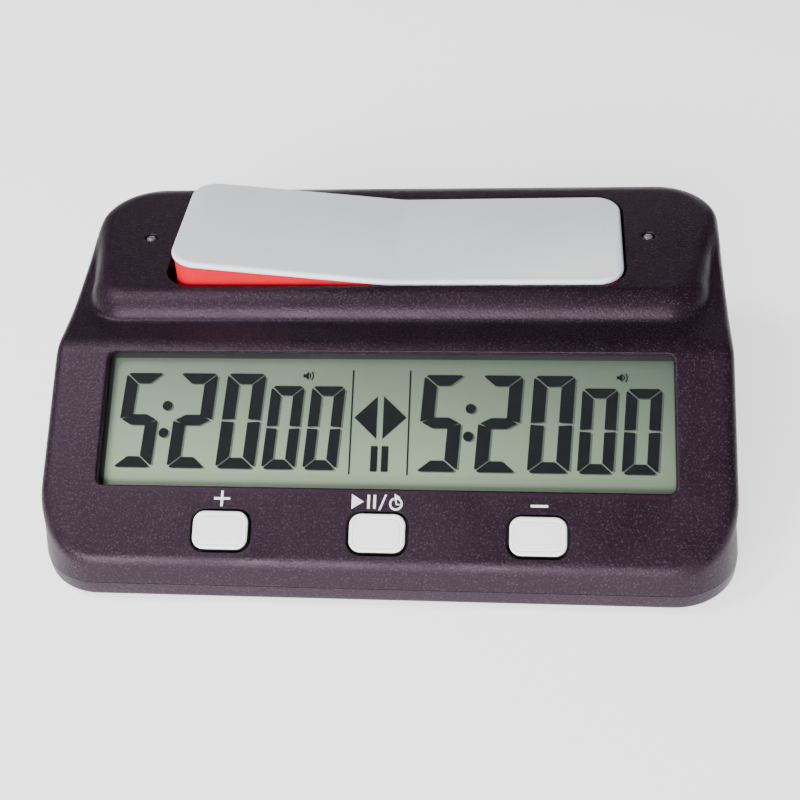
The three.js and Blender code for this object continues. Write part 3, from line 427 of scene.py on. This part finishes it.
LOOKS = {
    "housing_plastic": finish("aubergine_plastic", (0.0080, 0.0024, 0.0066), 0.42, grain=0.65,
                              relief=0.15, vary=0.12, patch=16, wear_and_highlight=0.5, speck=0.20,
                              specular=0.30, gloss_tint=(1.0, 0.74, 1.0)),
    "rocker_white": finish("rocker_white", (0.78, 0.81, 0.86), 0.30, grain=0.35, relief=0.008,
                           vary=0.02, patch=20, wear_and_highlight=0.7, spread=0.05),
    "rocker_red": finish("rocker_red", (0.64, 0.001, 0.018), 0.50, relief=0.008, vary=0.06,
                         specular=0.05),
    "button_white": finish("button_white", (0.98, 0.99, 1.0), 0.2, relief=0.004, vary=0.02,
                           coat=0.4, spread=0.05),
    # Painted shade: a dark finish that stands in for the shade in the gaps around the buttons.
    "button_skirt": finish("button_skirt", (0.035, 0.033, 0.036), 0.7, relief=0.01, vary=0.2),
    "plunger_white": finish("plunger_white", (0.70, 0.72, 0.70), 0.4, relief=0.006, vary=0.05),
    "inner_plastic": finish("inner_plastic", (0.018, 0.018, 0.020), 0.6, relief=0.03, vary=0.2),
    "black_component": finish("black_component", (0.020, 0.021, 0.023), 0.5, relief=0.015,
                              vary=0.15),
    "tact_red": finish("tact_red", (0.25, 0.03, 0.02), 0.5, relief=0.01),
    "board": finish("board_laminate", (0.015, 0.12, 0.045), 0.42, grain=0.8, relief=0.02,
                    vary=0.25, patch=5),
    "contact_rubber": finish("contact_rubber", (0.52, 0.22, 0.28), 0.75, grain=0.3, relief=0.03,
                             vary=0.15, patch=1.2),
    "steel": finish("steel", (0.55, 0.55, 0.56), 0.30, grain=0.25, relief=0.006, vary=0.08,
                    patch=4, metal=1.0),
    "foot_rubber": finish("foot_rubber", (0.016, 0.016, 0.017), 0.85, grain=0.5, relief=0.05,
                          vary=0.2, wear_and_highlight=0.3),
    "ribbon": finish("ribbon", (0.30, 0.31, 0.33), 0.5, grain=0.6, relief=0.03),
    "wire_red": finish("wire_red", (0.45, 0.02, 0.02), 0.45, relief=0.02),
    "wire_black": finish("wire_black", (0.012, 0.012, 0.012), 0.45, relief=0.02),
    "battery_sleeve": finish("battery_sleeve", (0.045, 0.10, 0.24), 0.32, grain=1.0,
                             relief=0.008, vary=0.1, coat=0.3),
    "lcd_glass": finish("lcd_glass", (0.268, 0.358, 0.236), 0.32, grain=0.3, relief=0.003,
                        vary=0.03, patch=24, spread=0.03),
    "clear_window": see_through("clear_window", (0.02, 0.02, 0.02), 1.0, 0.08),
    "smoked_lens": finish("smoked_lens", (0.13, 0.12, 0.13), 0.12, relief=0.002, coat=0.6),
    "lcd_ink": finish("lcd_ink", (0.006, 0.008, 0.010), 0.6, grain=0.3, relief=0.003,
                      vary=0.2, patch=3, specular=0.1),
    "lcd_shadow": see_through("lcd_shadow", (0.08, 0.09, 0.08), 0.72, 0.6),
    "print_white": finish("print_white", (0.80, 0.80, 0.82), 0.5, grain=0.25, relief=0.004,
                          vary=0.06, patch=1.5),
}


def paint_shade_ramp(look, axis, low, high, depth):
    """Paints shade on a finish across the object, darker from none at low to the given share at
    high.
    """
    tree = look.node_tree
    shader = tree.nodes["Principled BSDF"]
    body = shader.inputs["Base Color"].links[0].from_socket
    split = tree.nodes.new("ShaderNodeSeparateXYZ")
    tree.links.new(tree.nodes.new("ShaderNodeNewGeometry").outputs["Position"],
                   split.inputs[0])
    amount = remap(tree, split.outputs[axis], low, high, 0, depth)
    tree.links.new(mixed(tree, amount, body, (0.02, 0.03, 0.03)), shader.inputs["Base Color"])


def dress(piece, body, slot, look=None, degrees=32):
    """Gives a piece its finish, its smooth shading and the body that it moves with."""
    piece.data.materials.clear()
    piece.data.materials.append(LOOKS[look or slot])
    smooth(piece, degrees)
    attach(piece, body)
    return piece


# ---- Housing --------------------------------------------------------------------------------
def on_panel(piece):
    return moved(piece, PANEL)


def panel_inverse():
    """Takes a point in metres to the panel's frame, still in metres."""
    metres = PANEL.copy()
    metres.translation *= MM
    return metres.inverted()


def window_plate(name, grow, grow_high, profile):
    centre = (0, (WINDOW_LOW - grow + WINDOW_HIGH + grow_high) / 2)
    half = (WINDOW_HIGH + grow_high - WINDOW_LOW + grow) / 2
    return on_panel(plate(name, (WINDOW_X + grow, half, WINDOW_RADIUS), profile, centre, 6))


def button_plate(name, x, grow, profile):
    size = tuple(v + grow for v in BUTTON_SIZE)
    return on_panel(plate(name, size, profile, (x, BUTTON_S), 8))


def inner_room(x, y, z):
    return housing(x, y, z) + WALL


def lamp_x(side):
    low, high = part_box("indicator_led_" + side)
    return (low.x + high.x) / 2 / MM


def top_housing():
    cell = CELL
    low = (-HALF_WIDTH - 2, -HALF_DEPTH - 2, -3)
    high = (HALF_WIDTH + 2, HALF_DEPTH + 2, HUMP_TOP + 2)
    lamps = {side: lamp_x(side) for side in ("left", "right")}
    shell = polygonise("housing_shell", housing, low, high, cell)
    room = polygonise("room", inner_room, low, high, ROOM_CELL)
    for piece in (shell, room):
        close_bottom(piece)
    below = block("below", -90, 90, -60, 60, -30, PARTING + SEAM)
    well_centre = (0, (WELL_FRONT + WELL_REAR) / 2)
    well_size = (WELL_X, (WELL_REAR - WELL_FRONT) / 2, WELL_RADIUS)
    well = plate("well", well_size, flared(30, HUMP_TOP, 46, WELL_RIM), well_centre, 12)
    leds = [plate("led_hole", (LED_RADIUS + LED_CLEARANCE,) * 3,
                  flared(30, HUMP_TOP, 46, LED_RIM), (x, LED_Y), 10) for x in lamps.values()]
    window = window_plate("window_hole", 0, 0, flared(-2 * WALL, 0, 4, WINDOW_RIM))
    pocket = window_plate("pocket", POCKET_SIDE, POCKET_TOP,
                          [(0, -2 * WALL), (0, -WINDOW_DEPTH)])
    holes = [button_plate("button_hole", x, BUTTON_CLEARANCE,
                          flared(-3 * WALL, 0, 3, BUTTON_RIM)) for x in BUTTON_X.values()]
    recess, slot = [
        block(name, SWITCH_X - half, SWITCH_X + half, HALF_DEPTH - depth, HALF_DEPTH + 3,
              SWITCH_Z - rise, SWITCH_Z + rise)
        for name, (half, depth, rise) in (("recess", SWITCH_RECESS), ("slot", SWITCH_SLOT))
    ]
    carve(shell, room, below, well, *leds, window, pocket, *holes, recess, slot)
    dress(shell, "housing", "housing_plastic")
    paint_gap_shade(shell)
    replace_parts(shell, "top_housing")


def paint_gap_shade(shell):
    """Paints shade on the walls of the button holes: they get the dark gap-shade finish."""
    shell.data.materials.append(LOOKS["button_skirt"])
    to_panel = panel_inverse()
    half_x, half_s = BUTTON_SIZE[0] + GAP_REACH, BUTTON_SIZE[1] + GAP_REACH
    for face in shell.data.polygons:
        at = to_panel @ face.center / MM
        near = min(abs(at.x - x) for x in BUTTON_X.values()) < half_x
        if near and abs(at.y - BUTTON_S) < half_s and at.z < GAP_START:
            face.material_index = 1


def close_bottom(piece):
    """Caps the open loop that the mesh of a shape running below the grid ends in."""
    work = bmesh.new()
    work.from_mesh(piece.data)
    border = [e for e in work.edges if e.is_boundary]
    if border:
        bmesh.ops.holes_fill(work, edges=border, sides=0)
    bmesh.ops.recalc_face_normals(work, faces=work.faces)
    work.to_mesh(piece.data)
    work.free()


def bottom_cover():
    top = PARTING - SEAM
    floor = COVER_LOW + COVER_FLOOR
    size = (HALF_WIDTH, HALF_DEPTH, PLAN_RADIUS)
    radius = COVER_EDGE
    arc = [math.pi / 2 * i / 5 for i in range(6)]
    dish = [(radius * (1 - math.sin(a)), COVER_LOW + radius * (1 - math.cos(a))) for a in arc]
    cover = plate("base_cover", size, [*dish, (0, top)], steps=20)
    carve(cover, plate("dish", (HALF_WIDTH - WALL, HALF_DEPTH - WALL, PLAN_RADIUS - WALL),
                       [(0, floor), (0, FAR)], steps=12))
    bosses = [post("boss", x, y, COVER_LOW + 1, BOSS_TOP, BOSS_RADIUS)
              for x, y in CASE_SCREWS]
    bay = block("bay", -BAY_X - BAY_WALL, BAY_X + BAY_WALL, BAY_FRONT - BAY_WALL, BAY_REAR,
                COVER_LOW + 1, BAY_TOP)
    unite(cover, *bosses, bay)
    mouth = DOOR_X + GAP
    step = COVER_LOW + DOOR_STEP
    carve(cover,
          block("bay_room", -BAY_X, BAY_X, BAY_FRONT, BAY_REAR + 1, step, FAR),
          block("doorway", -mouth, mouth, BAY_FRONT, HALF_DEPTH + 1, 0, FAR),
          block("door_end", -BAY_X, BAY_X, BAY_REAR, HALF_DEPTH + 1, 0, FAR))
    heads = [post("head", x, y, 0, HEAD_TOP, HEAD_RADIUS) for x, y in CASE_SCREWS]
    shanks = [post("shank", x, y, 0, SHANK_TOP, SHANK_RADIUS) for x, y in CASE_SCREWS]
    pads = [post("pad", x, y, 0, COVER_LOW + FOOT_RISE, FOOT_RADIUS + GAP) for x, y in FEET]
    carve(cover, *heads, *shanks, *pads)
    rail = BAY_X + 1 - mouth
    rails = [block("rail", x, x + rail, BAY_FRONT - 0.1, BAY_REAR, floor + GAP, RAIL_TOP)
             for x in (-BAY_X - 1, mouth)]
    unite(cover, *rails)
    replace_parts(dress(cover, "housing", "housing_plastic"), "bottom_cover")


# ---- Rocker ---------------------------------------------------------------------------------
def bent(piece):
    """Lifts both arms of a flat piece from the bend, then tilts it to its rest."""
    work = bmesh.new()
    work.from_mesh(piece.data)
    for x in (-1.2, -0.5, 0, 0.5, 1.2):
        everything = work.verts[:] + work.edges[:] + work.faces[:]
        bmesh.ops.bisect_plane(work, geom=everything, plane_co=(x * MM, 0, 0),
                               plane_no=(1, 0, 0))
    width = 0.5 * MM
    for point in work.verts:
        x = point.co.x
        point.co.z += math.tan(ROCKER_RISE) * (math.hypot(x, width) - width) + BEND * MM
    work.to_mesh(piece.data)
    work.free()
    return moved(piece, ROCKER)


def rocker():
    size = (ROCKER_ARM, ROCKER_HALF, ROCKER_RADIUS)
    under = [(0.25, -ROCKER_CAP), (0, -ROCKER_CAP + 0.25)]
    cap = bent(plate("rocker_top", size, [*under, *eased(-0.9, 0, 0.9)[1:]], steps=14))
    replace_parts(dress(cap, "rocker", "rocker_white"), "rocker_cap")

    top = -ROCKER_CAP - GAP
    body = tuple(v - SKIRT_INSET for v in size)
    skirt = plate("rocker_red_body", body, [(0.2, -ROCKER_DEPTH), (0, -ROCKER_DEPTH + 0.2),
                                            (0, top - 0.3), (0.3, top)], steps=14)
    carve(skirt, plate("skirt_room", tuple(v - SKIRT_WALL for v in body),
                       [(0, -FAR), (0, top - SKIRT_WALL)], steps=8))
    bent(skirt)
    lobes = []
    for y in (-ROCKER_HALF + SKIRT_INSET, ROCKER_HALF - SKIRT_INSET - LOBE_WIDTH):
        lobe = turned("lobe", [(LOBE_RADIUS, 0), (LOBE_RADIUS, LOBE_WIDTH)], 28)
        lobe.data.transform(Matrix.Rotation(-math.pi / 2, 4, "X"))
        web = block("web", -LOBE_RADIUS, LOBE_RADIUS, y, y + LOBE_WIDTH, 0, BEND - 3)
        lobes += [moved(lobe, ROCKER @ Matrix.Translation((0, y, 0))), moved(web, ROCKER)]
    for x in (-PAD_X, -PLUNGER_X, PLUNGER_X, PAD_X):
        roof = BEND + abs(x) * math.tan(ROCKER_RISE) + top - SKIRT_WALL
        half_x, half_y = RIB_HALF
        rib = block("rib", x - half_x, x + half_x, -half_y, half_y, LOBE_RADIUS, roof + 0.5)
        lobes.append(moved(rib, ROCKER))
    unite(skirt, *lobes)
    hole = turned("axle_hole", [(AXLE_HOLE, -FAR), (AXLE_HOLE, FAR)], 24)
    hole.data.transform(Matrix.Rotation(math.pi / 2, 4, "X"))
    carve(skirt, moved(hole, ROCKER))
    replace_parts(dress(skirt, "rocker", "rocker_red"), "rocker_skirt")


# ---- Buttons --------------------------------------------------------------------------------
def buttons():
    crown = eased(-2.6, BUTTON_PROUD, CROWN_RADIUS, 5)
    low = BUTTON_PROUD - CREASE_DEPTH
    crease = [(0.80, BUTTON_PROUD), (0.92, low), (1.0, low), (1.25, BUTTON_PROUD + 0.02),
              (2.2, BUTTON_PROUD + 0.06)]
    to_panel = panel_inverse()
    for name, x in BUTTON_X.items():
        cap = button_plate("button_" + name, x, 0, [*crown, *crease])
        flange = button_plate("flange", x, FLANGE, [(0, FLANGE_LOW), (0, -WALL - GAP)])
        stem = on_panel(post("stem", x, BUTTON_S, STEM_LOW, -2, STEM_RADIUS))
        unite(cap, flange, stem)
        dress(cap, "button_" + name, "button_white", degrees=40)
        # Painted shade: the cap's faces below the panel surface get the dark finish, as shade in
        # the gap.
        cap.data.materials.append(LOOKS["button_skirt"])
        for face in cap.data.polygons:
            if (to_panel @ face.center).z < SKIRT_START * MM:
                face.material_index = 1
        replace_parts(cap, "button_cap_" + name)


# ---- Display --------------------------------------------------------------------------------
def slabs(name, outlines, low, high):
    """Thin flat shapes on the panel, as one mesh."""
    points, faces = [], []
    for outline in outlines:
        n, start = len(outline), len(points)
        points += [(x, y, low) for x, y in outline] + [(x, y, high) for x, y in outline]
        faces.append(tuple(reversed(range(start, start + n))))
        faces.append(tuple(range(start + n, start + 2 * n)))
        for i in range(n):
            j = (i + 1) % n
            faces.append((start + i, start + j, start + n + j, start + n + i))
    return on_panel(make_mesh(name, points, faces))


def circle(x, y, radius, steps=20):
    turn = [math.tau * i / steps for i in range(steps)]
    return [(x + radius * math.cos(a), y + radius * math.sin(a)) for a in turn]


def bar(x0, x1, y0, y1):
    return [(x0, y0), (x1, y0), (x1, y1), (x0, y1)]


DIGIT_BOTTOM, SLANT, SLANT_LEVEL, MITRE = 20.75, 0.066, 31.27, 0.19
GLYPHS = {"5": "afgcd", "2": "abged", "0": "abcdef"}
BIG, SMALL = (8.55, 21.05, 2.75, 2.35), (7.3, 18.35, 2.3, 2.1)
LAYOUT = [("5", 0.0, BIG), ("2", 12.1, BIG), ("0", 22.9, BIG), ("0", 33.05, SMALL),
          ("0", 42.05, SMALL)]
COLON_X, COLON_Y, COLON_RADIUS = 10.25, (28.4, 34.45), 1.07
GROUPS = {"left": (-57.7, 0.984), "right": (7.7, 1.016)}


def upper_half(width, height, thick, bar_height, notch):
    """Segments a, b, f and g of a digit about its middle line, counter-clockwise."""
    h = height / 2
    e, t, b = MITRE, thick, bar_height
    top = [(t + e, h - b), (width - t - e, h - b), (width - e - 0.25, h - 0.25),
           (width - e - 0.6, h), (e + 0.6, h), (e + 0.25, h - 0.25)]
    left = [(0, e), (0, h - e - 0.5), (0.3, h - e - 0.35), (t, h - b - e), (t, notch + e)]
    right = [(width - x, y) for x, y in reversed(left)]
    middle = [(e + 0.25, 0), (t * 0.95, -b / 2), (width - t * 0.95, -b / 2),
              (width - e - 0.25, 0), (width - t * 0.95, b / 2), (t * 0.95, b / 2)]
    return {"a": top, "f": left, "b": right, "g": middle}


def segments(glyph, size):
    upper = upper_half(*size, size[3] * (0.36 if "g" in GLYPHS[glyph] else 0.08))
    lower = {"d": "a", "e": "f", "c": "b"}
    for key in GLYPHS[glyph]:
        if key in upper:
            yield upper[key]
        else:
            yield [(x, -y) for x, y in reversed(upper[lower[key]])]


def group_outlines(start, stretch):
    outlines = []
    for glyph, x, size in LAYOUT:
        middle = DIGIT_BOTTOM + size[1] / 2
        for outline in segments(glyph, size):
            outlines.append([(start + stretch * (x + px) + SLANT * (middle + py - SLANT_LEVEL),
                              middle + py) for px, py in outline])
    for y in COLON_Y:
        x = start + stretch * COLON_X + SLANT * (y - SLANT_LEVEL)
        outlines.append(circle(x, y, COLON_RADIUS))
    return outlines


def speaker(x, y):
    """A loudspeaker with two sound waves."""
    cone = [(x, y - 0.35), (x + 0.5, y - 0.35), (x + 1.2, y - 0.95), (x + 1.2, y + 0.95),
            (x + 0.5, y + 0.35), (x, y + 0.35)]
    waves = []
    for radius in (1.0, 1.6):
        turn = [math.radians(a) for a in (-40, -20, 0, 20, 40)]
        outer = [(x + 0.7 + radius * math.cos(a), y + radius * math.sin(a)) for a in turn]
        inner = [(x + 0.7 + (radius - 0.25) * math.cos(a), y + (radius - 0.25) * math.sin(a))
                 for a in reversed(turn)]
        waves.append(outer + inner)
    return [cone, *waves]


INK_LOW, INK_HIGH, SHADE_LOW, SHADE_HIGH, SHADE_DROP = 0.10, 0.14, 0.02, 0.04, (0.45, -0.2)
TOP_PAINTED_SHADE, RIGHT_PAINTED_SHADE = 0.74, 0.36


def display():
    low, high = LCD_TOP + INK_LOW, LCD_TOP + INK_HIGH
    for side, (start, stretch) in GROUPS.items():
        outlines = group_outlines(start, stretch)
        ink = slabs("lcd_digits_" + side, outlines, low, high)
        dress(ink, "housing", "black_component", "lcd_ink")
        cast = [[(x + SHADE_DROP[0], y + SHADE_DROP[1]) for x, y in outline]
                for outline in outlines]
        shade = slabs("lcd_digit_shadow_" + side, cast, LCD_TOP + SHADE_LOW,
                      LCD_TOP + SHADE_HIGH)
        dress(shade, "housing", "lcd_glass", "lcd_shadow")
    marks = [
        [(-1.5, 27.6), (-1.5, 36.95), (-6.35, 32.25)],
        [(-0.2, 27.6), (4.8, 32.3), (-0.2, 37.0)],
        bar(-2.55, -1.1, 20.55, 26.05), bar(-0.25, 1.2, 20.55, 26.05),
        bar(-7.16, -6.84, 19.9, 42.75), bar(5.16, 5.48, 19.9, 42.75),
        *speaker(-17.9, 41.4), *speaker(48.9, 41.5),
    ]
    dress(slabs("lcd_marks", marks, low, high), "housing", "black_component", "lcd_ink")
    # Painted shadow: dark strips on the display along the window's left and top edges.
    edge, width = WINDOW_X + 0.9, 1.5
    rim = slabs("lcd_rim_shadow", [
        bar(-edge, -edge + width, WINDOW_LOW - 1, WINDOW_HIGH),
        bar(-edge, edge, WINDOW_HIGH - 0.7, WINDOW_HIGH + 0.8),
    ], low + 0.1, high + 0.1)
    dress(rim, "housing", "lcd_glass", "inner_plastic")
    # Painted shade: the display gets darker towards its top and towards its right side.
    corner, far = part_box("lcd_panel")
    paint_shade_ramp(LOOKS["lcd_glass"], "Y", corner.y, far.y, TOP_PAINTED_SHADE)
    paint_shade_ramp(LOOKS["lcd_glass"], "X", 0.0, far.x, RIGHT_PAINTED_SHADE)


def printed_symbols():
    stroke = 0.26
    plus_x, minus_x, y = -33.0, 33.0, 13.65
    symbols = [
        bar(plus_x - 1.7, plus_x - stroke, y - stroke, y + stroke),
        bar(plus_x + stroke, plus_x + 1.7, y - stroke, y + stroke),
        bar(plus_x - stroke, plus_x + stroke, y - 1.65, y + 1.65),
        bar(minus_x - 1.75, minus_x + 1.75, 13.2 - stroke, 13.2 + stroke),
        [(-5.6, 11.95), (-3.1, 13.5), (-5.6, 15.05)],
        bar(-2.35, -1.8, 12.05, 14.95), bar(-1.1, -0.55, 12.05, 14.95),
        [(0.0, 11.75), (0.4, 11.75), (1.7, 15.05), (1.3, 15.05)],
    ]
    centre, radius = (3.6, 13.15), 1.4
    turn = [math.radians(a) for a in range(115, 431, 15)]
    ring = [(centre[0] + r * math.cos(a), centre[1] + r * math.sin(a))
            for r, order in ((radius, turn), (radius - 0.42, turn[::-1])) for a in order]
    symbols += [
        ring,
        [(3.3, 13.75), (4.5, 14.5), (3.3, 15.25)],
        bar(3.45, 3.75, 13.15, 14.0),
        [(3.6, 12.9), (4.4, 12.9), (4.4, 13.15), (3.6, 13.15)],
    ]
    print_piece = slabs("printed_symbols", symbols, -0.02, 0.03)
    dress(print_piece, "housing", "button_white", "print_white")


# ---- Small parts ----------------------------------------------------------------------------
def indicator_lamps():
    dome = [(LED_RADIUS * math.cos(a), LENS_TOP + LENS_DOME * math.sin(a))
            for a in (math.pi / 2 * i / 6 for i in range(7))]
    for side in ("left", "right"):
        lens = turned("lamp_" + side, [
            (0, LENS_BASE), (LENS_BASE_RADIUS, LENS_BASE), (LENS_BASE_RADIUS, LENS_STEP),
            (LED_RADIUS, LENS_STEP), *dome,
        ])
        moved(lens, Matrix.Translation((lamp_x(side), LED_Y, 0)))
        dress(lens, "housing", "smoked_lens")
        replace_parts(lens, "indicator_led_" + side)


def feet():
    names = ["front_left", "front_right", "rear_left", "rear_right"]
    top = COVER_LOW + FOOT_RISE - GAP
    for name, (x, y) in zip(names, FEET):
        r = FOOT_RADIUS
        pad = turned("foot_" + name, [(0, 0), (r - 0.8, 0), (r - 0.3, 0.12), (r, 0.5),
                                      (r, top), (0, top)], 48)
        moved(pad, Matrix.Translation((x, y, 0)))
        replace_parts(dress(pad, "housing", "foot_rubber"), "rubber_foot_" + name)


def carried_over():
    """Better materials for the CAD nodes that keep their shape."""
    for row in frame["record"]["subparts"]:
        mesh = NODES[row["node"]].data
        mesh.materials.clear()
        mesh.materials.append(LOOKS[row["material_slot"]])


# ---- Studio ---------------------------------------------------------------------------------
def area_light(name, place, aim, size, watts, colour=(1, 1, 1)):
    lamp = bpy.data.lights.new(name, "AREA")
    lamp.shape = "RECTANGLE"
    lamp.size, lamp.size_y = size
    lamp.energy = watts
    lamp.color = colour
    light = bpy.data.objects.new(name, lamp)
    light.location = place
    light.rotation_euler = (Vector(aim) - Vector(place)).to_track_quat("-Z", "Y").to_euler()
    bpy.context.scene.collection.objects.link(light)


def studio():
    floor = make_mesh("studio_floor", [(-2500, -2500, -0.02), (2500, -2500, -0.02),
                                       (2500, 2500, -0.02), (-2500, 2500, -0.02)], [(0, 1, 2, 3)])
    paper = finish("floor_paper", (0.92, 0.92, 0.92), 0.85, grain=2, relief=0.01, vary=0.005,
                   patch=60)
    glow = paper.node_tree.nodes["Principled BSDF"].inputs
    glow["Emission Color"].default_value = (1, 1, 1, 1)
    glow["Emission Strength"].default_value = 1.3
    floor.data.materials.append(paper)

    world = bpy.data.worlds.new("studio")
    world.use_nodes = True
    tree = world.node_tree
    background = tree.nodes["Background"]
    background.inputs["Color"].default_value = (0.96, 0.97, 1.0, 1)
    where = tree.nodes.new("ShaderNodeTexCoord").outputs["Generated"]
    towards = tree.nodes.new("ShaderNodeVectorMath")
    towards.operation = "DOT_PRODUCT"
    towards.inputs[1].default_value = (-0.25, -0.92, 0.30)
    tree.links.new(where, towards.inputs[0])
    tree.links.new(remap(tree, towards.outputs["Value"], 0.0, 0.95, 0.10, 0.70),
                   background.inputs["Strength"])
    bpy.context.scene.world = world

    centre = (0, 0, 0.02)
    area_light("front_softbox", (-0.22, -0.80, 0.40), centre, (0.7, 0.25), 12.5)
    area_light("front_strip", (-0.10, -0.85, 0.12), centre, (0.9, 0.10), 3.5)
    area_light("left_softbox", (-0.36, -0.02, 0.66), centre, (0.22, 0.22), 3.5)
    area_light("rear_strip", (0.0, 0.95, 0.26), centre, (0.9, 0.05), 1.0)


def camera():
    azimuth, elevation, roll = math.radians(8.28), math.radians(41.18), math.radians(-4.93)
    aim, distance = Vector((1.95, -7.19, 20.0)), 289.04
    back = Vector((math.sin(azimuth) * math.cos(elevation),
                   -math.cos(azimuth) * math.cos(elevation), math.sin(elevation)))
    right = (-back).cross(Vector((0, 0, 1))).normalized()
    up = right.cross(-back)
    x_axis = right * math.cos(roll) + up * math.sin(roll)
    y_axis = up * math.cos(roll) - right * math.sin(roll)
    lens = bpy.data.cameras.new("photo_camera")
    lens.sensor_width, lens.lens = 36.0, 58.53
    lens.clip_start = 0.01
    view = bpy.data.objects.new("photo_camera", lens)
    turn = Matrix((x_axis, y_axis, back)).transposed().to_4x4()
    turn.translation = (aim + back * distance) * MM
    view.matrix_world = turn
    bpy.context.scene.collection.objects.link(view)
    bpy.context.scene.camera = view


top_housing()
bottom_cover()
rocker()
buttons()
display()
printed_symbols()
indicator_lamps()
feet()
carried_over()
studio()
camera()
